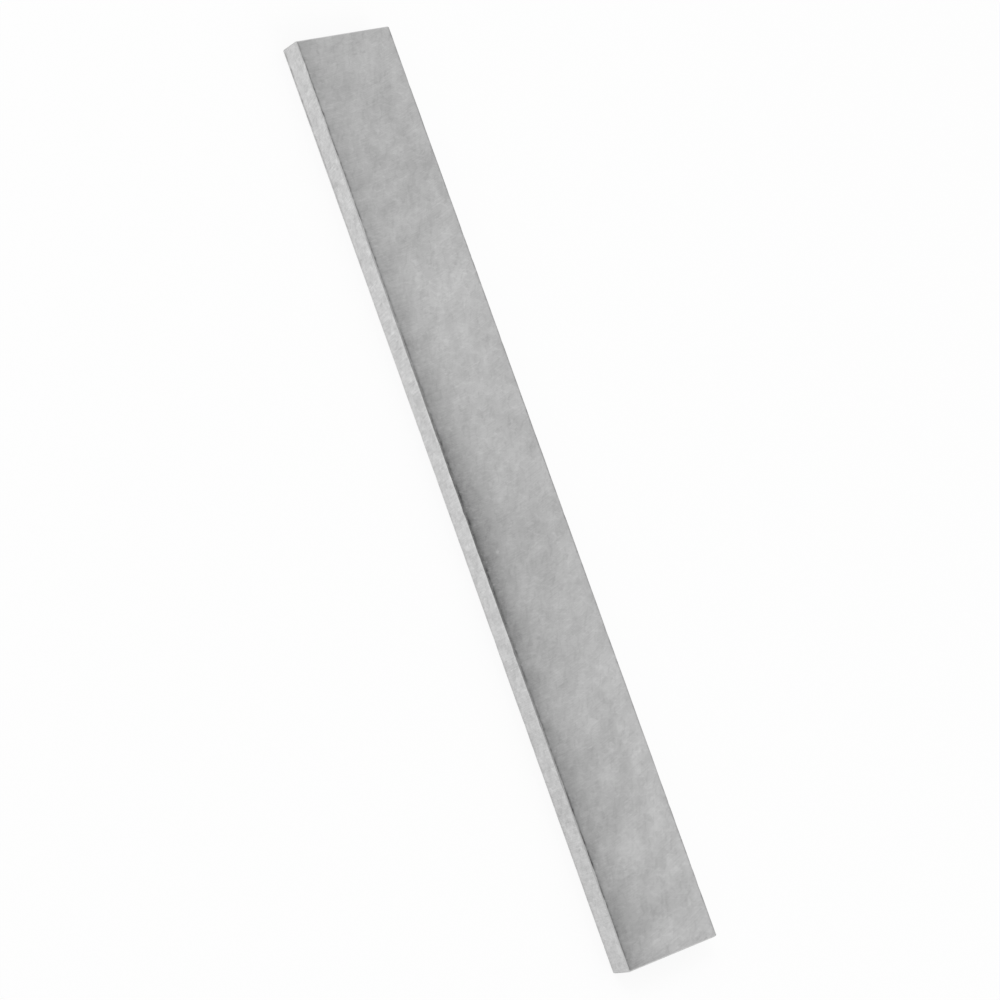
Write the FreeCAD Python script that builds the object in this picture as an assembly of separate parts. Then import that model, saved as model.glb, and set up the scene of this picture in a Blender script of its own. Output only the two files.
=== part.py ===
"""Flat tool bit of high-speed steel for a lathe, lying on one of its wide faces.

It is one piece: a ground rectangular bar with its sharp edges broken. The back end is cut
square. The front end leans back under the top front edge, to give that edge its relief.

The frame's origin is the middle of the underside. X runs along the bar to the front end,
Y across its width and Z up through its thickness. Lengths are in millimetres.
"""

import math
import os

import FreeCAD
import Part

LENGTH = 200.0  # overall, with the edges broken
WIDTH = 25.0  # between the two narrow faces
THICKNESS = 5.0  # between the two wide faces
FRONT_RELIEF_DEG = 7.0  # lean of the front end face, from square
EDGE_BREAK = 0.2  # leg of the bevel along each long edge
END_BREAK = 0.25  # leg of the bevel on each edge of the two end faces
PARTS = "parts"


def side_outline():
    """The bar seen from its side, with the front end set back towards the underside.

    The bevel on the sharp front edge shortens the bar a little, so the outline starts that
    much longer.
    """
    relief = math.radians(FRONT_RELIEF_DEG)
    lost_to_bevel = END_BREAK * math.sin(relief)
    setback = THICKNESS * math.tan(relief)
    back = -LENGTH / 2
    front = LENGTH / 2 + lost_to_bevel
    side = -WIDTH / 2
    corners = [
        FreeCAD.Vector(back, side, 0),
        FreeCAD.Vector(front - setback, side, 0),
        FreeCAD.Vector(front, side, THICKNESS),
        FreeCAD.Vector(back, side, THICKNESS),
    ]
    return Part.Face(Part.makePolygon(corners + corners[:1]))


def runs_along_bar(edge):
    """Whether a straight edge runs the length of the bar, and not round one of its ends."""
    start, end = (vertex.Point for vertex in edge.Vertexes)
    span = end - start
    return abs(span.x) > abs(span.y) + abs(span.z)


def with_long_edges_broken(bar):
    """The bar with a bevel along each of its four long edges."""
    long_edges = [edge for edge in bar.Edges if runs_along_bar(edge)]
    return bar.makeChamfer(EDGE_BREAK, long_edges)


def with_ends_broken(bar):
    """The bar with a bevel on every edge of its two end faces, across the long bevels too."""
    end_edges = [edge for edge in bar.Edges if not runs_along_bar(edge)]
    return bar.makeChamfer(END_BREAK, end_edges)


def tool_bit():
    """The finished bar, as one solid."""
    bar = side_outline().extrude(FreeCAD.Vector(0, WIDTH, 0))
    bar = with_long_edges_broken(bar)
    bar = with_ends_broken(bar)
    return bar.Solids[0]


def main():
    """Build the bar and write it to its STEP file."""
    os.makedirs(PARTS, exist_ok=True)
    tool_bit().exportStep(os.path.join(PARTS, "tool_bit.step"))


main()
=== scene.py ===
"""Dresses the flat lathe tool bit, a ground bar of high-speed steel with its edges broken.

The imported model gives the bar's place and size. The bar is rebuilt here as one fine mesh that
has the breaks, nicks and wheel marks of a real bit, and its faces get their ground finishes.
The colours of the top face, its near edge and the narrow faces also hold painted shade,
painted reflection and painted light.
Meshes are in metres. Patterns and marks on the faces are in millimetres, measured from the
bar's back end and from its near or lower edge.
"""

import logging
import math
from dataclasses import dataclass
from enum import Enum

import bpy
import numpy as np
from mathutils import Matrix, Vector


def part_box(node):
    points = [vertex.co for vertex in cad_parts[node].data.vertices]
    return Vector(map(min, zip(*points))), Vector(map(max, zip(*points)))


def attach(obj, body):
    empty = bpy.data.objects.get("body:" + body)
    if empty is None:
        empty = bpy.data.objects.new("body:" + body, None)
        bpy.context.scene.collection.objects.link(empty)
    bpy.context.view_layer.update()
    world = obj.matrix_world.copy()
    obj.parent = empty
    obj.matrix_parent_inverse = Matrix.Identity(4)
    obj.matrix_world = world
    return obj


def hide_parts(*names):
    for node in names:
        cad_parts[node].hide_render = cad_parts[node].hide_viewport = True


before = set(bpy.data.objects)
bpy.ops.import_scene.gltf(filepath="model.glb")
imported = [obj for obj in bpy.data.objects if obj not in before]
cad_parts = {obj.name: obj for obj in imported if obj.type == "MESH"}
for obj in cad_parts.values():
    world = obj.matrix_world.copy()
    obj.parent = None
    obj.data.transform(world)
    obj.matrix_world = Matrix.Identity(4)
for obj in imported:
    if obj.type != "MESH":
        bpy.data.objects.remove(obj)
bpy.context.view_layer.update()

MM = 0.001
NODE = "tool_bit"
PIECE = "ground_bar"
SIDES = 4  # a bar has four long edges, each followed by a long face
QUAD_CORNERS = 4
TURN = 2 * math.pi
QUARTER_TURN = TURN / 4
LAYOUT_GAP = 1.6 * MM  # between the pieces of the flat layout
WHITE = (1.0, 1.0, 1.0, 1.0)

Socket = bpy.types.NodeSocket
NodeTree = bpy.types.NodeTree

log = logging.getLogger("tool_bit")


class Finish(Enum):
    """The finishes of the bar, each with its place in the mesh's list of materials."""

    TOP = 0
    UNDERSIDE = 1
    NEAR_SIDE = 2
    FAR_SIDE = 3
    TOP_EDGE = 4  # the broken edges round the top face, with painted shade along the near one
    EDGE = 5
    END = 6


class Plane(Enum):
    """Which two of the bar's directions a finish is laid out in."""

    LENGTH_AND_WIDTH = "XY"
    LENGTH_AND_HEIGHT = "XZ"
    WIDTH_AND_HEIGHT = "YZ"


# Shapes

WAVES = 6  # the sine waves in an uneven curve
NICK_DEPTHS = (0.2, 1.0)  # the shallowest and the deepest, before they are squared
NICK_LENGTHS = (0.6, 1.8)  # the shortest and the longest, in typical half lengths


def crowded(count: int, crowding: float) -> np.ndarray:
    """Places from -1 to 1 that lie closer together towards both ends.

    Each place is a mix of an even spacing t and of sin(90 degrees times t), which slows down
    at its ends.

    Args:
        count: How many places there are.
        crowding: The share of the sine, from 0 for even spacing.

    Returns:
        The places, in rising order.
    """
    even = np.linspace(-1.0, 1.0, count)
    return (1.0 - crowding) * even + crowding * np.sin(QUARTER_TURN * even)


def wander(places: np.ndarray, wavelength: float, seed: int) -> np.ndarray:
    """A smooth uneven curve about zero, as a hand leaves along an edge.

    It is the mean of a few sine waves with random phases, times the square root of two.
    Their wavelengths run evenly from the given one to a third of it.

    Args:
        places: Where the curve is wanted, in metres.
        wavelength: The longest wave, in metres.
        seed: Picks the phases.

    Returns:
        One value from about -1 to 1 for each place.
    """
    draw = np.random.default_rng(seed)
    lengths = np.linspace(wavelength, wavelength / 3, WAVES)
    phases = draw.uniform(0.0, TURN, WAVES)
    angles = TURN * places[..., None] / lengths + phases
    return np.sin(angles).mean(axis=-1) * math.sqrt(2.0)


def nicks(places: np.ndarray, count: int, half_length: float, seed: int) -> np.ndarray:
    """Small dents scattered along an edge.

    Each dent is a bell curve, exp(-(distance / half length) squared), with its own depth and
    length. Where dents overlap, the deeper one counts.

    Args:
        places: Where the dents are wanted, in metres along the bar.
        count: How many dents there are over the length.
        half_length: The typical half length of a dent, in metres.
        seed: Picks the places, depths and lengths.

    Returns:
        The depth at each place, from 0 to 1.
    """
    draw = np.random.default_rng(seed)
    middles = draw.uniform(places.min(), places.max(), count)
    depths = draw.uniform(*NICK_DEPTHS, count) ** 2
    lengths = half_length * draw.uniform(*NICK_LENGTHS, count)
    steps = (places[..., None] - middles) / lengths
    return (depths * np.exp(-(steps**2))).max(axis=-1)


@dataclass(frozen=True)
class RoundedOutline:
    """The closed section of a bar, as a plan that any size of section can follow.

    A point of the section is core * (half size - leg) + reach * leg. The core runs round the
    rectangle of the arcs' centres, from -1 to 1 each way. The reach is a unit offset: square
    to a flat, and on a corner's arc the pair cos(angle) and sin(angle), each to a power of
    two over roundness. That power makes a circle at roundness 2 and a straight bevel at 1.

    The points run along the top to the far side, down it, back along the underside and up
    the near side. Each side starts with the arc of the corner before it.
    """

    arc_points: int = 7  # odd, so that each arc has a middle point
    wide_points: int = 64
    thick_points: int = 12
    roundness: float = 1.35
    crowding: float = 0.75

    @property
    def flat_points(self) -> tuple[int, ...]:
        """The number of points on each flat, without its ends."""
        return (self.wide_points, self.thick_points) * 2

    @property
    def side_starts(self) -> np.ndarray:
        """The index of each arc's first point, and last the number of points in all."""
        return np.cumsum((0,) + tuple(self.arc_points + flat for flat in self.flat_points))

    def plan(self) -> tuple[np.ndarray, np.ndarray, np.ndarray]:
        """The plan of the whole outline.

        Returns:
            The core and the reach of each point, as (y, z) pairs, and how far each point
            has come from its side's corner to the next one, with the corner's number added.
        """
        normals = np.array([[-1, 0], [0, 1], [1, 0], [0, -1]], float)
        angles = np.linspace(0.0, QUARTER_TURN, self.arc_points)[:, None]
        power = 2.0 / self.roundness
        cores, reaches, progress = [], [], []
        for corner, flat in enumerate(self.flat_points):
            before = normals[corner]
            after = normals[(corner + 1) % SIDES]
            next_face = normals[(corner + 2) % SIDES]
            along = crowded(flat + 2, self.crowding)[1:-1, None]
            arc = before * np.cos(angles) ** power + after * np.sin(angles) ** power
            cores += [np.repeat([before + after], self.arc_points, axis=0), after + along * next_face]
            reaches += [arc, np.repeat([after], flat, axis=0)]
            progress += [np.full(self.arc_points, float(corner)), corner + (along[:, 0] + 1) / 2]
        return np.concatenate(cores), np.concatenate(reaches), np.concatenate(progress)


@dataclass(frozen=True)
class LongEdge:
    """The break along one of the four long edges, and how it changes along the bar."""

    wide_leg: float  # metres, on the wide face
    side_leg: float  # metres, on the narrow face
    wide_swell: float = 0.0  # metres added to the wide face's leg at mid-length
    side_swell: float = 0.0  # metres added to the narrow face's leg at mid-length
    unevenness: float = 0.15  # the share by which a leg wanders
    wavelength: float = 18 * MM  # of the longest wander
    nick_depth: float = 0.10 * MM
    nick_half_length: float = 0.5 * MM
    nick_count: int = 26
    seed: int = 1

    def legs(self, along: np.ndarray) -> np.ndarray:
        """The two legs at each place along the bar.

        Each leg swells or shrinks towards mid-length, with the square of a cosine over the
        bar's length. It wanders a little too, and has the nicks added.

        Args:
            along: Places from the bar's middle, in metres.

        Returns:
            An array of (places, 2), with the leg on the wide face first.
        """
        half_length = np.abs(along).max()
        swell = np.cos(QUARTER_TURN * along / half_length) ** 2
        uneven = 1.0 + self.unevenness * wander(along, self.wavelength, self.seed)
        dents = self.nick_depth * nicks(along, self.nick_count, self.nick_half_length, self.seed)
        wide = (self.wide_leg + self.wide_swell * swell) * uneven + dents
        side = (self.side_leg + self.side_swell * swell) * uneven + dents
        return np.stack([wide, side], axis=-1)


@dataclass
class ToolBit:
    """The ground bar, with its four long edges and its two ends.

    The long surface is the outline carried along the bar. Its stations stand square at the
    back end and lean a little more at each step, up to the relief of the front end. Rings
    that close in round off the two ends, and a fine patch closes each of them.
    """

    low: Vector
    high: Vector
    relief: float = math.radians(7.0)
    end_leg: float = 0.25 * MM
    end_rings: int = 6
    stations: int = 430
    station_crowding: float = 0.6
    roll_depth: float = 0.02 * MM  # how far the flats fall away at their long edges
    roll_reach: float = 0.9 * MM
    cut_depth: float = 0.035 * MM  # of the marks that the cut-off wheel left on the ends
    cut_pitch: float = 1.1 * MM
    cut_wander: float = 0.25  # in pitches
    cut_wavelength: float = 7.7 * MM
    cut_seed: int = 21
    cut_fade: float = 0.25  # a smaller power carries the marks nearer to the rim
    wheel_radius: float = 90 * MM
    wheel_aside: float = 0.3  # widths of the bar, from its middle to the far side
    outline: RoundedOutline = RoundedOutline()
    near_top: LongEdge = LongEdge(
        0.29 * MM, 0.06 * MM, wide_swell=-0.13 * MM, side_swell=0.18 * MM,
        nick_depth=0.14 * MM, nick_count=70, seed=11,
    )
    far_top: LongEdge = LongEdge(0.20 * MM, 0.20 * MM, seed=12)
    far_bottom: LongEdge = LongEdge(0.20 * MM, 0.20 * MM, seed=13)
    near_bottom: LongEdge = LongEdge(0.20 * MM, 0.20 * MM, seed=14)

    @property
    def size(self) -> np.ndarray:
        """Length, width and thickness, in metres."""
        return np.array(self.high - self.low)

    @property
    def centre(self) -> np.ndarray:
        """The middle of the bar's box."""
        return np.array(self.high + self.low) / 2

    def ring_plan(self) -> tuple[np.ndarray, np.ndarray, np.ndarray]:
        """Where the rings stand.

        The rings of an end follow the outline's own corner curve: they stand out by the
        end leg times cos(angle) and have closed in by the end leg times 1 - sin(angle), both
        to the power that the outline uses.

        Returns:
            For each ring its share of the way along the bar, its step outwards past the
            first or last station, and how far it has closed in.
        """
        power = 2.0 / self.outline.roundness
        angles = np.linspace(0.0, QUARTER_TURN, self.end_rings, endpoint=False)
        out = self.end_leg * np.cos(angles) ** power
        inwards = self.end_leg * (1.0 - np.sin(angles) ** power)
        shares = (crowded(self.stations, self.station_crowding) + 1) / 2
        share = np.concatenate([np.zeros(self.end_rings), shares, np.ones(self.end_rings)])
        level = np.zeros(self.stations)
        step = np.concatenate([-out, level, out[::-1]])
        closed = np.concatenate([inwards, level, inwards[::-1]])
        return share, step, closed

    def leaning_x(self, share: np.ndarray, step: np.ndarray, height: np.ndarray) -> np.ndarray:
        """The place along X of points on leaning stations.

        The back end is upright. The front end is set back by tan(relief) times the depth
        below the top face, and a station between them takes its share of that.

        Args:
            share: The share of the way from the first station to the last.
            step: The step past the first or last station, in metres.
            height: The points' Z, in metres.

        Returns:
            The points' X, in metres.
        """
        slope = math.tan(self.relief)
        first = self.low.x + self.end_leg
        tip = self.high.x + self.end_leg * slope - self.end_leg
        last = tip - (self.high.z - height) * slope
        return first + share * (last - first) + step

    def sleeve(self) -> np.ndarray:
        """The long surface with its rounded ends.

        Each ring is the outline about the bar's middle. A point's legs are a mix of those at
        the two corners that it lies between, by its progress from one to the other. The faces
        fall away towards the long edges by depth * exp(-distance from the edge / reach).

        Returns:
            An array of (rings, points, 3), in metres.
        """
        core, reach, progress = self.outline.plan()
        share, step, closed = self.ring_plan()
        along = self.size[0] * (share - 0.5)
        edges = (self.near_top, self.far_top, self.far_bottom, self.near_bottom)
        corner_legs = np.stack([edge.legs(along) for edge in edges], axis=1)
        corner = progress.astype(int)
        part = (progress - corner)[None, :, None]
        legs = (1 - part) * corner_legs[:, corner] + part * corner_legs[:, (corner + 1) % SIDES]
        half = self.size[1:] / 2 - closed[:, None, None]
        past_edge = ((1 - np.abs(core)) * (half - legs)).max(axis=-1)
        roll = self.roll_depth * np.exp(-past_edge / self.roll_reach)
        section = core * (half - legs) + reach * (legs - roll[..., None])
        y = section[..., 0] + self.centre[1]
        z = section[..., 1] + self.centre[2]
        x = self.leaning_x(share[:, None], step[:, None], z)
        return np.stack([x, y, z], axis=-1)

    def rim_grid(self, ring_start: int) -> np.ndarray:
        """The numbers of a ring's points, laid round the rim of the grid that closes an end.

        The grid's four corners are the middle points of the ring's arcs. Its rows go down
        from the top, and its columns go from the near side to the far side.

        Args:
            ring_start: The number of the ring's first point.

        Returns:
            The grid, with -1 where it has inner points.
        """
        total = self.outline.side_starts[-1]
        corners = self.outline.side_starts[:SIDES] + self.outline.arc_points // 2
        near_top, far_top, far_bottom, near_bottom = corners
        grid = np.full((far_bottom - far_top + 1, far_top - near_top + 1), -1)
        grid[0, :] = np.arange(near_top, far_top + 1)
        grid[:, -1] = np.arange(far_top, far_bottom + 1)
        grid[-1, ::-1] = np.arange(far_bottom, near_bottom + 1)
        grid[::-1, 0] = np.arange(near_bottom, near_top + total + 1) % total
        grid[grid >= 0] += ring_start
        return grid

    def end_patch(self, rim: np.ndarray, outward: float) -> np.ndarray:
        """The points that close an end, from those round its rim.

        Each inner point is the blend of its row's two ends, plus the blend of its column's
        two ends, less the blend of the four corners. Then the wheel's marks press it in:
        waves on circles about a wheel far below the bar, which die out towards the rim.

        Args:
            rim: An array of (rows, columns, 3), true at its rim only.
            outward: 1 at the front end and -1 at the back end.

        Returns:
            The whole patch, with the same shape.
        """
        down = np.linspace(0.0, 1.0, rim.shape[0])[:, None, None]
        over = np.linspace(0.0, 1.0, rim.shape[1])[None, :, None]
        rows = (1 - over) * rim[:, :1] + over * rim[:, -1:]
        columns = (1 - down) * rim[:1] + down * rim[-1:]
        top = (1 - over) * rim[0, 0] + over * rim[0, -1]
        bottom = (1 - over) * rim[-1, 0] + over * rim[-1, -1]
        patch = rows + columns - (1 - down) * top - down * bottom
        aside = self.wheel_aside * self.size[1]
        from_wheel = np.hypot(patch[..., 1] - aside, patch[..., 2] + self.wheel_radius)
        uneven = self.cut_wander * wander(from_wheel, self.cut_wavelength, self.cut_seed)
        waves = 0.5 + 0.5 * np.sin(TURN * (from_wheel / self.cut_pitch + uneven))
        hill = 4 * down * (1 - down) * 4 * over * (1 - over)  # 1 in the middle and 0 at the rim
        patch[..., 0] -= outward * self.cut_depth * waves * hill[..., 0] ** self.cut_fade
        return patch

    def closed_mesh(self) -> tuple[np.ndarray, np.ndarray, np.ndarray, np.ndarray]:
        """The whole bar as arrays.

        Returns:
            The points, the quads, the number of each quad's finish, and the place of each
            quad's corners on the flat layout.
        """
        sleeve = self.sleeve()
        rings, around = sleeve.shape[:2]
        numbers = np.arange(rings * around).reshape(rings, around)
        points, quads = [sleeve.reshape(-1, 3)], [strip_quads(numbers, wrap=True)]
        finishes, layouts = [self.sleeve_finishes(rings)], [self.sleeve_layout(sleeve)]
        for ring_start, outward in ((0, -1.0), ((rings - 1) * around, 1.0)):
            grid = self.rim_grid(ring_start)
            filled = sleeve.reshape(-1, 3)[grid]
            patch = self.end_patch(filled, outward)
            inner = grid < 0
            known = sum(len(part) for part in points)
            grid[inner] = known + np.arange(inner.sum())
            points.append(patch[inner])
            faces = strip_quads(grid, wrap=False)
            places = self.end_layout(patch, outward)
            if outward < 0:
                faces, places = faces[:, ::-1], places[:, ::-1]
            quads.append(faces)
            layouts.append(places)
            finishes.append(np.full(len(faces), Finish.END.value))
        return tuple(np.concatenate(parts) for parts in (points, quads, finishes, layouts))

    def sleeve_finishes(self, rings: int) -> np.ndarray:
        """The finishes of the long surface.

        Args:
            rings: The number of its rings.

        Returns:
            The number of each quad's finish, ring after ring.
        """
        faces = (Finish.TOP, Finish.FAR_SIDE, Finish.UNDERSIDE, Finish.NEAR_SIDE)
        starts = self.outline.side_starts
        arc_steps = self.outline.arc_points - 1
        rim = np.full(starts[-1], Finish.EDGE.value)
        rim[: starts[1] + arc_steps] = Finish.TOP_EDGE.value
        row = rim.copy()
        for start, stop, face in zip(starts[:-1], starts[1:], faces):
            row[start + arc_steps : stop] = face.value
        whole = np.tile(row, (rings - 1, 1))
        whole[: self.end_rings] = rim
        whole[-self.end_rings :] = rim
        return whole.ravel()

    def layout_side(self) -> float:
        """The side of the square that the flat layout needs, in metres."""
        return 2 * (2 * (self.size[1] + self.size[2]) + LAYOUT_GAP)

    def sleeve_layout(self, sleeve: np.ndarray) -> np.ndarray:
        """The long surface unrolled in two bands, its back half under its front half.

        Args:
            sleeve: The points of the long surface.

        Returns:
            An array of (quads, 4, 2), in shares of the layout's side.
        """
        middle_ring = sleeve.shape[0] // 2
        loop = np.concatenate([sleeve[middle_ring], sleeve[middle_ring, :1]])
        steps = np.linalg.norm(np.diff(loop[:, 1:], axis=0), axis=1)
        around = np.concatenate([[0.0], np.cumsum(steps)])
        along = sleeve[:, :, 0].mean(axis=1) - self.low.x
        first = np.arange(sleeve.shape[0] - 1)
        in_front = (first >= middle_ring)[:, None]
        left = along[first, None] - in_front * along[middle_ring]
        right = along[first + 1, None] - in_front * along[middle_ring]
        up = in_front * (self.layout_side() / 2)
        low, high = around[None, :-1] + up, around[None, 1:] + up
        flat = np.zeros(low.shape)
        corners = [(left + flat, low), (right + flat, low), (right + flat, high), (left + flat, high)]
        places = np.stack([np.stack(pair, axis=-1) for pair in corners], axis=-2)
        return (places.reshape(-1, QUAD_CORNERS, 2) + LAYOUT_GAP / 2) / self.layout_side()

    def end_layout(self, patch: np.ndarray, outward: float) -> np.ndarray:
        """An end face laid flat beside the bands, the front end's above the back end's.

        Args:
            patch: The points of the end face.
            outward: 1 at the front end and -1 at the back end.

        Returns:
            An array of (quads, 4, 2), in shares of the layout's side.
        """
        across = patch[..., 2] - self.low.z
        up = patch[..., 1] - self.low.y
        above = self.layout_side() / 2 if outward > 0 else 0.0
        corner = np.array([self.size[0] / 2 + 2 * LAYOUT_GAP, above + LAYOUT_GAP])
        flat = (np.stack([across, up], axis=-1) + corner) / self.layout_side()
        return flat.reshape(-1, 2)[strip_quads(np.arange(across.size).reshape(across.shape), wrap=False)]

    def build(self) -> bpy.types.Object:
        """Make the bar's object, dress it and put it in the CAD piece's place."""
        points, quads, finishes, layout = self.closed_mesh()
        mesh = bpy.data.meshes.new(PIECE)
        mesh.from_pydata(points, [], quads)
        mesh.polygons.foreach_set("use_smooth", np.ones(len(quads), bool))
        for finish in Finish:
            mesh.materials.append(STEEL[finish].material())
        mesh.polygons.foreach_set("material_index", finishes.astype(np.int32))
        unwrapped = mesh.uv_layers.new(name="OFBake")
        unwrapped.data.foreach_set("uv", layout.astype(np.float32).ravel())
        mesh.update()
        bar = bpy.data.objects.new(PIECE, mesh)
        bpy.context.scene.collection.objects.link(bar)
        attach(bar, "root")
        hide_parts(NODE)
        log.info("%s: %d points, %d quads", PIECE, len(points), len(quads))
        return bar


def strip_quads(numbers: np.ndarray, wrap: bool) -> np.ndarray:
    """The quads between neighbouring points of a grid.

    Args:
        numbers: The grid of the points' numbers.
        wrap: Whether the last column joins the first.

    Returns:
        An array of (quads, 4), which turn from the first row to the second and on along it.
    """
    if wrap:
        numbers = np.concatenate([numbers, numbers[:, :1]], axis=1)
    corners = (numbers[:-1, :-1], numbers[1:, :-1], numbers[1:, 1:], numbers[:-1, 1:])
    return np.stack(corners, axis=-1).reshape(-1, QUAD_CORNERS)


# Shader nodes

NOISE_GAIN = 4.0  # brings noise, less its middle of 0.5, to about -1 to 1
CREST_GAIN = 4.0  # how fast a crest comes in above its level
WARP_DETAIL = 3.0
WARP_GRAIN = 0.6


class Wiring:
    """A node tree with short ways to add nodes and join them."""

    def __init__(self, tree: NodeTree) -> None:
        """Take the tree that the nodes go into."""
        self.tree = tree

    def feed(self, socket: Socket, value: object) -> None:
        """Give a socket its input.

        Args:
            socket: The socket.
            value: Another socket to join it to, or a plain value.
        """
        if isinstance(value, Socket):
            self.tree.links.new(value, socket)
        else:
            socket.default_value = value

    def node(self, kind: str, settings: dict | None = None, **inputs: object) -> bpy.types.Node:
        """Add a node.

        Args:
            kind: The node's type, without the words ShaderNode.
            settings: Its properties by name.
            inputs: What goes into its sockets, by the socket's name with _ for a space.

        Returns:
            The node.
        """
        made = self.tree.nodes.new("ShaderNode" + kind)
        for name, value in (settings or {}).items():
            setattr(made, name, value)
        for name, value in inputs.items():
            self.feed(made.inputs[name.replace("_", " ")], value)
        return made

    def math(self, operation: str, *values: object, clamp: bool = False) -> Socket:
        """Add a Math node.

        Args:
            operation: What it does.
            values: What goes into it.
            clamp: Whether its result is kept from 0 to 1.

        Returns:
            The result.
        """
        made = self.node("Math", {"operation": operation, "use_clamp": clamp})
        for socket, value in zip(made.inputs, values):
            self.feed(socket, value)
        return made.outputs[0]

    def vector(self, operation: str, *values: object) -> Socket:
        """Add a Vector Math node.

        Args:
            operation: What it does.
            values: What goes into it.

        Returns:
            The result, which is a plain value where the operation is LENGTH.
        """
        made = self.node("VectorMath", {"operation": operation})
        for socket, value in zip(made.inputs, values):
            self.feed(socket, value)
        return made.outputs["Value" if operation == "LENGTH" else "Vector"]

    def turned(self, vector: Socket, lean: Socket) -> Socket:
        """Turn places back by a lean, so that what leans by it runs along the first direction."""
        angle = self.math("MULTIPLY", lean, -1.0)
        return self.node("VectorRotate", {"rotation_type": "Z_AXIS"}, Vector=vector, Angle=angle).outputs[0]

    def ramp(self, value: object, low: float, high: float, start: float, end: float) -> Socket:
        """Add a smooth ramp, which is level outside its range.

        Args:
            value: What goes into it.
            low: Where the range begins.
            high: Where the range ends.
            start: The result where the range begins.
            end: The result where the range ends.

        Returns:
            The result.
        """
        made = self.node("MapRange", {"interpolation_type": "SMOOTHSTEP"}, Value=value)
        for name, bound in (("From Min", low), ("From Max", high), ("To Min", start), ("To Max", end)):
            made.inputs[name].default_value = bound
        return made.outputs["Result"]

    def group(self, tree: NodeTree, **inputs: object) -> bpy.types.Node:
        """Add a node group.

        Args:
            tree: The group.
            inputs: What goes into its sockets, by the socket's name with _ for a space.

        Returns:
            The node.
        """
        made = self.node("Group")
        made.node_tree = tree
        for name, value in inputs.items():
            self.feed(made.inputs[name.replace("_", " ")], value)
        return made


def new_group(name: str, inputs: dict[str, str], outputs: dict[str, str]) -> tuple[Wiring, dict, dict]:
    """Start a shader node group with named sockets.

    Args:
        name: The group's name.
        inputs: The kind of each input socket, Float or Vector, by its name.
        outputs: The kind of each output socket, by its name.

    Returns:
        The group's wiring, its inputs as sockets to take from, and its outputs as sockets
        to feed.
    """
    tree = bpy.data.node_groups.new(name, "ShaderNodeTree")
    for in_out, sockets in (("INPUT", inputs), ("OUTPUT", outputs)):
        for socket, kind in sockets.items():
            tree.interface.new_socket(socket, in_out=in_out, socket_type="NodeSocket" + kind)
    taken = tree.nodes.new("NodeGroupInput").outputs
    given = tree.nodes.new("NodeGroupOutput").inputs
    return Wiring(tree), {key: taken[key] for key in inputs}, {key: given[key] for key in outputs}


def streak_group() -> NodeTree:
    """Uneven streaks or clouds about zero: noise drawn out along one direction.

    The pattern's plane is turned by the lean, and then measured in lengths along the streaks
    and in pitches across them, before it goes into the noise.
    """
    inputs = {"Vector": "Vector", "Length": "Float", "Pitch": "Float", "Lean": "Float",
              "Detail": "Float", "Grain": "Float"}
    wires, taken, given = new_group("streaks", inputs, {"Tone": "Float"})
    turned = wires.turned(taken["Vector"], taken["Lean"])
    cell = wires.node("CombineXYZ", X=taken["Length"], Y=taken["Pitch"], Z=1.0)
    scaled = wires.vector("DIVIDE", turned, cell.outputs["Vector"])
    noise = wires.node(
        "TexNoise", Vector=scaled, Scale=1.0, Detail=taken["Detail"], Roughness=taken["Grain"]
    )
    centred = wires.math("SUBTRACT", noise.outputs["Fac"], 0.5)
    wires.feed(given["Tone"], wires.math("MULTIPLY", centred, NOISE_GAIN))
    return wires.tree


def arc_group() -> NodeTree:
    """Places as seen along a wheel's path: the first part runs along it, the second across it.

    The plane is turned by the lean. Then the second part gets the bend times the square of
    the distance along the path from its middle, which curves a straight line into an arc.
    """
    inputs = {"Vector": "Vector", "Lean": "Float", "Bend": "Float", "Middle": "Float"}
    wires, taken, given = new_group("wheel arcs", inputs, {"Vector": "Vector"})
    turned = wires.turned(taken["Vector"], taken["Lean"])
    parts = wires.node("SeparateXYZ", Vector=turned).outputs
    from_middle = wires.math("SUBTRACT", parts["X"], taken["Middle"])
    squared = wires.math("MULTIPLY", from_middle, from_middle)
    across = wires.math("MULTIPLY_ADD", squared, taken["Bend"], parts["Y"])
    bent = wires.node("CombineXYZ", X=parts["X"], Y=across, Z=parts["Z"])
    wires.feed(given["Vector"], bent.outputs["Vector"])
    return wires.tree


def warp_group() -> NodeTree:
    """Places pushed about by noise, so that patterns laid out on them curl and fray."""
    inputs = {"Vector": "Vector", "Size": "Float", "Amount": "Float"}
    wires, taken, given = new_group("warp", inputs, {"Vector": "Vector"})
    cell = wires.node("CombineXYZ", X=taken["Size"], Y=taken["Size"], Z=taken["Size"])
    scaled = wires.vector("DIVIDE", taken["Vector"], cell.outputs["Vector"])
    noise = wires.node(
        "TexNoise", Vector=scaled, Scale=1.0, Detail=WARP_DETAIL, Roughness=WARP_GRAIN
    )
    centred = wires.vector("SUBTRACT", noise.outputs["Color"], (0.5, 0.5, 0.5))
    reach = wires.node("CombineXYZ", X=taken["Amount"], Y=taken["Amount"])
    push = wires.vector("MULTIPLY", centred, reach.outputs["Vector"])
    wires.feed(given["Vector"], wires.vector("ADD", taken["Vector"], push))
    return wires.tree


def mark_group() -> NodeTree:
    """A soft leaning patch: exp(-(distance from its middle, in half sizes) squared)."""
    inputs = {"Vector": "Vector", "Middle": "Vector", "Half Size": "Vector", "Lean": "Float"}
    wires, taken, given = new_group("mark", inputs, {"Mask": "Float"})
    moved = wires.vector("SUBTRACT", taken["Vector"], taken["Middle"])
    sized = wires.vector("DIVIDE", wires.turned(moved, taken["Lean"]), taken["Half Size"])
    squared = wires.math("POWER", wires.vector("LENGTH", sized), 2.0)
    wires.feed(given["Mask"], wires.math("EXPONENT", wires.math("MULTIPLY", squared, -1.0)))
    return wires.tree


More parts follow.
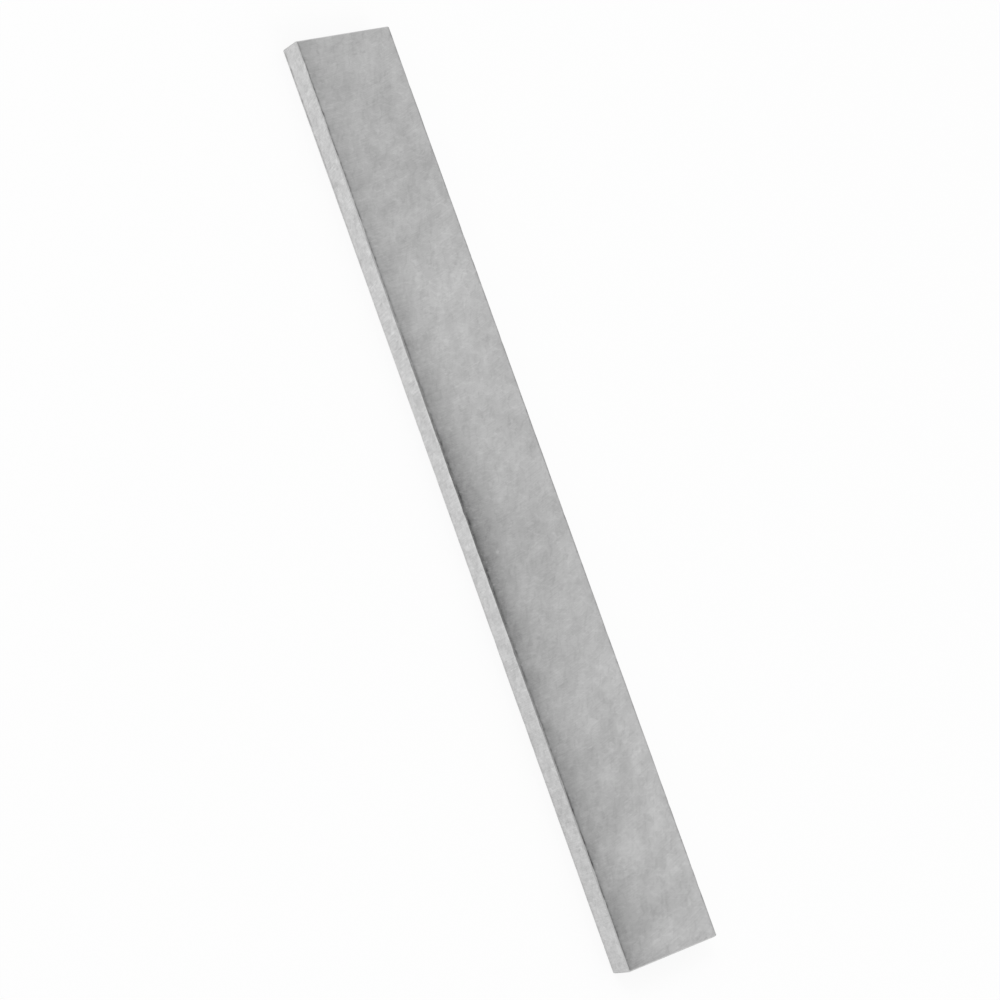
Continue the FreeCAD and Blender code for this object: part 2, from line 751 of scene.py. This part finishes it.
def hairline_group(streaks: NodeTree) -> NodeTree:
    """Sparse fine scratches: the crests of long thin streaks that stand above a level."""
    inputs = {"Vector": "Vector", "Length": "Float", "Pitch": "Float", "Lean": "Float", "Level": "Float"}
    wires, taken, given = new_group("hairlines", inputs, {"Mask": "Float"})
    place = {name: taken[name] for name in ("Vector", "Length", "Pitch", "Lean")}
    crests = wires.group(streaks, Detail=0.0, **place).outputs["Tone"]
    above = wires.math("SUBTRACT", crests, taken["Level"])
    wires.feed(given["Mask"], wires.math("MULTIPLY", above, CREST_GAIN, clamp=True))
    return wires.tree


def painted_shade_group() -> NodeTree:
    """A painted shade that fades away from an edge: depth times exp(-distance / reach)."""
    inputs = {"Distance": "Float", "Depth": "Float", "Reach": "Float"}
    wires, taken, given = new_group("painted edge shade", inputs, {"Shade": "Float"})
    ratio = wires.math("DIVIDE", wires.math("MAXIMUM", taken["Distance"], 0.0), taken["Reach"])
    fade = wires.math("EXPONENT", wires.math("MULTIPLY", ratio, -1.0))
    wires.feed(given["Shade"], wires.math("MULTIPLY", fade, taken["Depth"]))
    return wires.tree


@dataclass(frozen=True)
class Effects:
    """The node groups that the finishes share."""

    streaks: NodeTree
    arcs: NodeTree
    warp: NodeTree
    mark: NodeTree
    hairlines: NodeTree
    shade: NodeTree

    @classmethod
    def build(cls) -> "Effects":
        """Make each group once."""
        streaks = streak_group()
        hairlines = hairline_group(streaks)
        return cls(streaks, arc_group(), warp_group(), mark_group(), hairlines, painted_shade_group())


EFFECTS = Effects.build()


# Finishes


@dataclass(frozen=True)
class Streaks:
    """Uneven streaks drawn out along one direction, or clouds where they are nearly round."""

    length: float  # mm
    pitch: float  # mm
    lean: float = 0.0  # degrees
    detail: float = 2.0
    grain: float = 0.6

    def wire(self, wires: Wiring, place: Socket) -> Socket:
        """Lay the streaks out in a material.

        Args:
            wires: The material's wiring.
            place: The place on the face.

        Returns:
            Their tone, about zero.
        """
        made = wires.group(
            EFFECTS.streaks, Vector=place, Length=self.length, Pitch=self.pitch,
            Lean=math.radians(self.lean), Detail=self.detail, Grain=self.grain,
        )
        return made.outputs["Tone"]


@dataclass(frozen=True)
class Hairlines:
    """Sparse fine scratches, or dabs where they are short and wide."""

    length: float  # mm
    pitch: float  # mm
    lean: float  # degrees
    level: float  # the height above which a crest shows

    def wire(self, wires: Wiring, place: Socket, turn: float = 0.0) -> Socket:
        """Lay the lines out in a material.

        Args:
            wires: The material's wiring.
            place: The place on the face.
            turn: The direction that the lean is measured from, in degrees.

        Returns:
            Their mask, from 0 to 1.
        """
        made = wires.group(
            EFFECTS.hairlines, Vector=place, Length=self.length, Pitch=self.pitch,
            Lean=math.radians(self.lean + turn), Level=self.level,
        )
        return made.outputs["Mask"]


@dataclass(frozen=True)
class Warp:
    """A push by noise, which makes what is laid out on it curl and fray."""

    size: float  # mm, the noise's cell
    amount: float  # mm

    def wire(self, wires: Wiring, place: Socket) -> Socket:
        """The place after the push."""
        return wires.group(EFFECTS.warp, Vector=place, Size=self.size, Amount=self.amount).outputs["Vector"]


@dataclass(frozen=True)
class Mark:
    """A soft patch of a face that is lighter or darker than the steel round it."""

    along: float  # mm from the back end
    across: float  # mm from the near or lower edge
    half_length: float
    half_width: float
    tone: float  # the share by which it is lighter, or darker where it is below zero
    lean: float = 0.0  # degrees, from the bar's length


@dataclass(frozen=True)
class PaintedEdgeShade:
    """Painted shade along the near long edge, a blurred dark reflection, with lighter specks in it."""

    back_depth: float = 0.24  # the share of light that it takes away at the back end
    front_depth: float = 0.44
    rise: tuple[float, float] = (40.0, 100.0)  # mm from the back end
    peak_depth: float = 0.22  # what the bell about mid-length adds
    peak_at: float = 106.0  # mm from the back end
    peak_half: float = 22.0  # mm
    reach: float = 4.6  # mm
    clouds: Streaks = Streaks(3.5, 2.2, lean=-60.0, detail=4.0, grain=0.8)
    raggedness: float = 1.1  # mm, how far the clouds push the shade out and in
    fraying: Warp = Warp(size=1.4, amount=1.4)
    specks: Hairlines = Hairlines(1.4, 0.45, lean=70.0, level=0.75)
    speck_share: float = 0.22  # how much of the painted shade a speck takes off

    def depth(self, wires: Wiring, along: Socket) -> Socket:
        """The painted shade's depth at its edge.

        It rises smoothly from the back end's depth to the front end's, and has a bell about
        mid-length added: exp(-(distance from the peak / half length) squared).

        Args:
            wires: The material's wiring.
            along: The place along the bar, in mm from the back end.

        Returns:
            The share of light that the shade takes away there.
        """
        level = wires.ramp(along, *self.rise, self.back_depth, self.front_depth)
        step = wires.math("DIVIDE", wires.math("SUBTRACT", along, self.peak_at), self.peak_half)
        squared = wires.math("MULTIPLY", step, step)
        bell = wires.math("EXPONENT", wires.math("MULTIPLY", squared, -1.0))
        return wires.math("MULTIPLY_ADD", bell, self.peak_depth, level)

    def wire(self, wires: Wiring, place: Socket) -> Socket:
        """The painted shade at a place on the face.

        Args:
            wires: The material's wiring.
            place: The place, in mm from the back end and from the near edge.

        Returns:
            The share of light that the shade takes away.
        """
        parts = wires.node("SeparateXYZ", Vector=place).outputs
        ragged = wires.math("MULTIPLY", self.clouds.wire(wires, place), self.raggedness)
        distance = wires.math("ADD", parts["Y"], ragged)
        depth = self.depth(wires, parts["X"])
        shade = wires.group(EFFECTS.shade, Distance=distance, Depth=depth, Reach=self.reach)
        specks = self.specks.wire(wires, self.fraying.wire(wires, place))
        kept = wires.math("MULTIPLY_ADD", specks, -self.speck_share, 1.0)
        return wires.math("MULTIPLY", shade.outputs["Shade"], kept)


@dataclass(frozen=True)
class Grinding:
    """The fine lines that a wheel leaves, in arcs that cross the face."""

    lean: float = 90.0  # degrees from the plane's first direction, where the arcs run straight
    radius: float = 100.0  # mm
    middle: float = -10.0  # mm along the lines, where they run straight
    length: float = 6.0  # mm
    pitch: float = 0.15  # mm
    crossing: float = 0.5  # the strength of the second set, which bends the other way
    tone: float = 0.09
    height: float = 1.8e-6  # metres

    def wire(self, wires: Wiring, place: Socket) -> Socket:
        """The two sets of lines together, about zero.

        An arc leaves its tangent by the square of the distance along it over twice its
        radius, so the bend is half of one over the radius.

        Args:
            wires: The material's wiring.
            place: The place on the face.

        Returns:
            The tone of the lines.
        """
        lines = Streaks(self.length, self.pitch)
        half_curvature = 0.5 / self.radius
        total: object = 0.0
        for bend, strength in ((-half_curvature, 1.0), (half_curvature, self.crossing)):
            path = wires.group(
                EFFECTS.arcs, Vector=place, Lean=math.radians(self.lean), Bend=bend, Middle=self.middle
            )
            total = wires.math("MULTIPLY_ADD", lines.wire(wires, path.outputs["Vector"]), strength, total)
        return total


@dataclass(frozen=True)
class Clouds:
    """The cloudy tone of ground steel: soft mottles, and small feathery dabs on them."""

    mottles: Streaks = Streaks(7.0, 5.0, lean=144.0, detail=5.0, grain=0.75)
    tone: float = 0.165
    light_dabs: Hairlines = Hairlines(2.4, 0.7, lean=75.0, level=0.35)
    dark_dabs: Hairlines = Hairlines(2.4, 0.7, lean=150.0, level=0.35)
    dab_tone: float = 0.05  # the share by which a dab is lighter or darker

    def wire(self, wires: Wiring, place: Socket) -> Socket:
        """Lay the mottles and dabs out in a material.

        Args:
            wires: The material's wiring.
            place: The place on the face.

        Returns:
            Their tone together, about zero.
        """
        total = wires.math("MULTIPLY", self.mottles.wire(wires, place), self.tone)
        for dabs, tone in ((self.light_dabs, self.dab_tone), (self.dark_dabs, -self.dab_tone)):
            total = wires.math("MULTIPLY_ADD", dabs.wire(wires, place), tone, total)
        return total


@dataclass(frozen=True)
class SteelFinish:
    """Ground steel: its grey and gloss, the wheel's lines, clouds, scratches, marks and painted shade."""

    name: str
    plane: Plane
    grey: float  # linear
    seed: float
    roughness: float = 0.4
    gloss_change: float = 0.04  # of the roughness, on the wheel's lines
    grinding: Grinding = Grinding()
    clouds: Clouds = Clouds()
    scratches: Hairlines = Hairlines(11.0, 0.1, lean=-35.0, level=1.15)  # leaning from the wheel's lines
    scratch_tone: float = 0.06
    curl: Warp = Warp(size=2.5, amount=3.0)  # of the clouds and the soft marks
    soft_marks: tuple[Mark, ...] = ()
    fray: Warp = Warp(size=0.8, amount=0.5)  # of the crisp marks
    crisp_marks: tuple[Mark, ...] = ()
    spots: Streaks = Streaks(1.6, 1.0)  # which break the crisp marks up
    spot_strength: float = 1.1
    # painted shade along the near long edge, where the finish has one
    painted_edge_shade: PaintedEdgeShade | None = None

    def place(self, wires: Wiring) -> Socket:
        """Measure the place on the face.

        Args:
            wires: The material's wiring.

        Returns:
            The place in mm from the back end and from the near or lower edge, and the seed.
        """
        low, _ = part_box(NODE)
        coordinates = wires.node("TexCoord").outputs["Object"]
        from_corner = wires.vector("SUBTRACT", coordinates, tuple(low))
        in_mm = wires.vector("SCALE", from_corner)
        in_mm.node.inputs["Scale"].default_value = 1 / MM
        parts = wires.node("SeparateXYZ", Vector=in_mm).outputs
        first, second = self.plane.value
        flat = wires.node("CombineXYZ", X=parts[first], Y=parts[second], Z=self.seed)
        return flat.outputs["Vector"]

    def marked(
        self, wires: Wiring, place: Socket, marks: tuple[Mark, ...], tone: Socket, strength: object = 1.0
    ) -> Socket:
        """A tone with marks on it.

        Args:
            wires: The material's wiring.
            place: The place on the face.
            marks: The marks.
            tone: The tone before them.
            strength: How strong the marks are, all over or from place to place.

        Returns:
            The tone times one plus the strength times each mark's tone and mask.
        """
        total: object = 0.0
        for mark in marks:
            patch = wires.group(
                EFFECTS.mark,
                Vector=place,
                Middle=(mark.along, mark.across, self.seed),
                Half_Size=(mark.half_length, mark.half_width, 1.0),
                Lean=math.radians(mark.lean),
            )
            total = wires.math("MULTIPLY_ADD", patch.outputs["Mask"], mark.tone, total)
        return wires.math("MULTIPLY", tone, wires.math("MULTIPLY_ADD", total, strength, 1.0))

    def unevenness(self, wires: Wiring, place: Socket) -> Socket:
        """How strong the crisp marks are from place to place: one, more or less some noise."""
        return wires.math("MULTIPLY_ADD", self.spots.wire(wires, place), self.spot_strength, 1.0)

    def tone(self, wires: Wiring, place: Socket, lines: Socket, scratches: Socket) -> Socket:
        """The light and dark of the finish.

        Args:
            wires: The material's wiring.
            place: The place on the face.
            lines: The tone of the wheel's lines.
            scratches: The mask of the scratches.

        Returns:
            The tone, about one, that the grey is multiplied by.
        """
        curled = self.curl.wire(wires, place)
        tone = wires.math("ADD", self.clouds.wire(wires, curled), 1.0)
        tone = wires.math("MULTIPLY_ADD", lines, self.grinding.tone, tone)
        tone = wires.math("MULTIPLY_ADD", scratches, self.scratch_tone, tone)
        if self.soft_marks:
            tone = self.marked(wires, curled, self.soft_marks, tone)
        if self.crisp_marks:
            frayed = self.fray.wire(wires, place)
            tone = self.marked(wires, frayed, self.crisp_marks, tone, self.unevenness(wires, place))
        # painted shade: darker along the near long edge, painted into the colour
        if self.painted_edge_shade:
            shade = self.painted_edge_shade.wire(wires, place)
            tone = wires.math("MULTIPLY", tone, wires.math("SUBTRACT", 1.0, shade))
        return tone

    def material(self) -> bpy.types.Material:
        """Build the finish as a material."""
        made = bpy.data.materials.new(self.name)
        made.use_nodes = True
        made.node_tree.nodes.clear()
        wires = Wiring(made.node_tree)
        place = self.place(wires)
        lines = self.grinding.wire(wires, place)
        scratches = self.scratches.wire(wires, place, turn=self.grinding.lean)
        level = wires.math("MULTIPLY", self.tone(wires, place, lines, scratches), self.grey)
        colour = wires.node("CombineColor", Red=level, Green=level, Blue=level)
        gloss = wires.math("MULTIPLY_ADD", lines, self.gloss_change, self.roughness)
        height = wires.math("MULTIPLY_ADD", scratches, -1.0, lines)
        bump = wires.node("Bump", Strength=1.0, Distance=self.grinding.height, Height=height)
        shader = wires.node("BsdfPrincipled", Metallic=1.0)
        wires.feed(shader.inputs["Base Color"], colour.outputs["Color"])
        wires.feed(shader.inputs["Roughness"], gloss)
        wires.feed(shader.inputs["Normal"], bump.outputs["Normal"])
        output = wires.node("OutputMaterial")
        wires.feed(output.inputs["Surface"], shader.outputs["BSDF"])
        return made


# Soft marks of the top face: partly smudges, partly a painted reflection of a blurred surround.
TOP_MARKS = (
    # the duller back third, with a darker patch
    Mark(22, 15, 24, 11, -0.06),
    Mark(32, 19, 6, 3, -0.06),
    # the bright middle
    Mark(56, 16, 10, 6, 0.08, -65),
    Mark(75, 12, 22, 9, 0.05),
    # the dull band at mid-length
    Mark(110, 16, 11, 8, -0.06, -80),
    # dark and light fingers towards the front end, the ragged rim of the painted shade along the near edge
    Mark(133, 13, 7, 4, -0.05, -60),
    Mark(145, 11, 9, 3, 0.06, -60),
    Mark(158, 7, 8, 3, -0.09, -75),
    Mark(163, 10, 4, 2, 0.06, -60),
    Mark(168, 11, 9, 4, -0.07, -70),
    Mark(178, 11, 9, 3, 0.06, -65),
    Mark(190, 8, 8, 4, -0.09, -75),
    Mark(196, 11, 4, 2, 0.05, -60),
    # the brighter strip along the far edge, painted light
    Mark(160, 22, 40, 4, 0.05),
)

TOP_CRISP_MARKS = (
    # the dark line just inside the near edge, a painted reflection of dark surroundings, and the thin one
    # along the far edge
    Mark(20, 0.4, 30, 0.25, -0.35),
    Mark(100, 0.3, 60, 0.4, -0.35),
    Mark(180, 0.4, 30, 0.3, -0.35),
    Mark(100, 24.8, 200, 0.25, -0.3),
    # the one bright fleck in the painted shade
    Mark(112, 4.5, 0.4, 0.4, 0.4),
)

NEAR_SIDE_MARKS = (
    # the duller front, with darker upright bands
    Mark(165, 2.5, 40, 10, -0.06),
    Mark(136, 2.5, 3, 4, -0.04),
    Mark(150, 2.5, 3, 4, -0.04),
    Mark(165, 2.5, 5, 4, -0.04),
    Mark(183, 2.5, 4, 4, -0.04),
    Mark(197, 2, 3, 3, -0.07),
)

NEAR_SIDE_CRISP_MARKS = (
    # the dark line along the lower edge, stronger at the back
    Mark(0, 0.5, 40, 0.25, -0.3),
    Mark(160, 0.4, 60, 0.3, -0.1),
    # the bright rim under the near long edge
    Mark(95, 4.5, 60, 0.4, 0.06),
)

FINE_CLOUDS = Clouds(Streaks(2.5, 2.5, lean=144.0, detail=5.0, grain=0.9), tone=0.24)
FAINT_CLOUDS = Clouds(tone=0.12, dab_tone=0.02)
ALONG = Grinding(lean=0.0)

STEEL = {
    Finish.TOP: SteelFinish(
        "ground_top", Plane.LENGTH_AND_WIDTH, grey=0.53, seed=3.0,
        soft_marks=TOP_MARKS, crisp_marks=TOP_CRISP_MARKS, painted_edge_shade=PaintedEdgeShade(),
    ),
    Finish.UNDERSIDE: SteelFinish(
        "ground_underside", Plane.LENGTH_AND_WIDTH, grey=0.53, seed=41.0, clouds=FAINT_CLOUDS
    ),
    # The narrow faces are a lighter grey than the wide ones: painted light, for the brighter light they
    # catch.
    Finish.NEAR_SIDE: SteelFinish(
        "ground_near_side", Plane.LENGTH_AND_HEIGHT, grey=0.613, seed=77.0,
        grinding=Grinding(lean=100.0, tone=0.10), clouds=FINE_CLOUDS,
        soft_marks=NEAR_SIDE_MARKS, crisp_marks=NEAR_SIDE_CRISP_MARKS,
    ),
    Finish.FAR_SIDE: SteelFinish(
        "ground_far_side", Plane.LENGTH_AND_HEIGHT, grey=0.60, seed=113.0,
        grinding=Grinding(lean=80.0), clouds=FAINT_CLOUDS,
    ),
    # The near top edge darkens towards mid-length: painted shade, a dark reflection painted into the
    # colour.
    Finish.TOP_EDGE: SteelFinish(
        "top_edge", Plane.LENGTH_AND_WIDTH, grey=0.58, seed=151.0, grinding=ALONG, clouds=FAINT_CLOUDS,
        painted_edge_shade=PaintedEdgeShade(back_depth=0.0, front_depth=0.0, peak_depth=0.7, peak_half=62.0),
    ),
    Finish.EDGE: SteelFinish(
        "broken_edge", Plane.LENGTH_AND_HEIGHT, grey=0.50, seed=171.0, grinding=ALONG, clouds=FAINT_CLOUDS
    ),
    Finish.END: SteelFinish(
        "cut_end", Plane.WIDTH_AND_HEIGHT, grey=0.42, seed=193.0, roughness=0.46,
        grinding=Grinding(lean=0.0, radius=90.0, middle=8.0, length=12.0, pitch=0.22, tone=0.11),
        clouds=FAINT_CLOUDS,
    ),
}


# Studio


@dataclass(frozen=True)
class Lamp:
    """A square soft lamp that looks at the bar's middle."""

    name: str
    at: tuple[float, float, float]  # metres
    side: float  # metres
    power: float  # watts

    def build(self) -> None:
        """Put the lamp into the scene."""
        data = bpy.data.lights.new(self.name, "AREA")
        data.shape = "SQUARE"
        data.size = self.side
        data.energy = self.power
        lamp = bpy.data.objects.new(self.name, data)
        lamp.location = self.at
        lamp.rotation_euler = Vector(self.at).to_track_quat("Z", "Y").to_euler()
        bpy.context.scene.collection.objects.link(lamp)


@dataclass(frozen=True)
class Studio:
    """The pale floor, the soft light and the camera."""

    floor_half: float = 3.0  # metres
    floor_gap: float = 0.02 * MM  # under the bar, so that the two surfaces don't share a plane
    floor_grey: float = 0.85
    whiteness: float = 0.86  # the share of plain white in what the camera sees of the floor
    sky_level: float = 0.875
    lamps: tuple[Lamp, ...] = (
        Lamp("key", (-0.75, -0.35, 0.85), 0.5, 2.5),
        Lamp("fill", (0.85, 0.15, 0.65), 0.5, 1.6),
    )
    lens: float = 124.52  # mm
    frame_width: float = 36.0  # mm
    azimuth: float = 7.18  # degrees, from the near side towards the front end
    elevation: float = 50.15  # degrees above the floor
    roll: float = 64.71  # degrees, anticlockwise as seen from behind the camera
    distance: float = 0.70309  # metres from the aim
    aim: tuple[float, float, float] = (0.00193, -0.00261, 0.005)  # on the top face

    def build(self) -> None:
        """Make the whole studio."""
        self.build_floor()
        self.build_world()
        for lamp in self.lamps:
            lamp.build()
        self.build_camera()
        log.info("studio: floor, sky, %d lamps and camera", len(self.lamps))

    def build_floor(self) -> None:
        """The floor: a plain square that shows white and keeps the bar's shadow."""
        half, level = self.floor_half, -self.floor_gap
        corners = [(-half, -half, level), (half, -half, level), (half, half, level), (-half, half, level)]
        mesh = bpy.data.meshes.new("floor")
        mesh.from_pydata(corners, [], [(0, 1, 2, 3)])
        mesh.materials.append(self.floor_material())
        floor = bpy.data.objects.new("floor", mesh)
        bpy.context.scene.collection.objects.link(floor)

    def floor_material(self) -> bpy.types.Material:
        """Matt pale paint, most of whose seen colour is plain white, so that shadows stay faint."""
        made = bpy.data.materials.new("pale_floor")
        made.use_nodes = True
        made.node_tree.nodes.clear()
        wires = Wiring(made.node_tree)
        lit = wires.node("BsdfDiffuse", Color=(self.floor_grey,) * 3 + (1.0,))
        white = wires.node("Emission", Color=WHITE, Strength=1.0)
        path = wires.node("LightPath").outputs
        mirrored = wires.math("MAXIMUM", path["Is Glossy Ray"], path["Is Transmission Ray"])
        seen = wires.math("MULTIPLY_ADD", path["Is Camera Ray"], self.whiteness, mirrored, clamp=True)
        mixed = wires.node("MixShader", Fac=seen)
        wires.feed(mixed.inputs[1], lit.outputs[0])
        wires.feed(mixed.inputs[2], white.outputs[0])
        output = wires.node("OutputMaterial")
        wires.feed(output.inputs["Surface"], mixed.outputs[0])
        return made

    def build_world(self) -> None:
        """An even pale sky on all sides."""
        world = bpy.data.worlds.new("studio")
        world.use_nodes = True
        background = world.node_tree.nodes["Background"]
        background.inputs["Color"].default_value = WHITE
        background.inputs["Strength"].default_value = self.sky_level
        bpy.context.scene.world = world

    def build_camera(self) -> None:
        """The camera at the photograph's angle, rolled so that the bar stands in the frame."""
        turn, rise = math.radians(self.azimuth), math.radians(self.elevation)
        back = Vector((math.sin(turn) * math.cos(rise), -math.cos(turn) * math.cos(rise), math.sin(rise)))
        data = bpy.data.cameras.new("camera")
        data.sensor_width = self.frame_width
        data.lens = self.lens
        camera = bpy.data.objects.new("camera", data)
        level = back.to_track_quat("Z", "Y").to_matrix().to_4x4()
        roll = Matrix.Rotation(math.radians(self.roll), 4, "Z")
        place = Matrix.Translation(Vector(self.aim) + back * self.distance)
        camera.matrix_world = place @ level @ roll
        bpy.context.scene.collection.objects.link(camera)
        bpy.context.scene.camera = camera


def main() -> None:
    """Build the bar and the studio."""
    logging.basicConfig(level=logging.INFO, format="%(name)s: %(message)s")
    low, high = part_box(NODE)
    ToolBit(low, high).build()
    Studio().build()
    bpy.context.scene.view_settings.view_transform = "Standard"


if __name__ == "__main__":
    main()
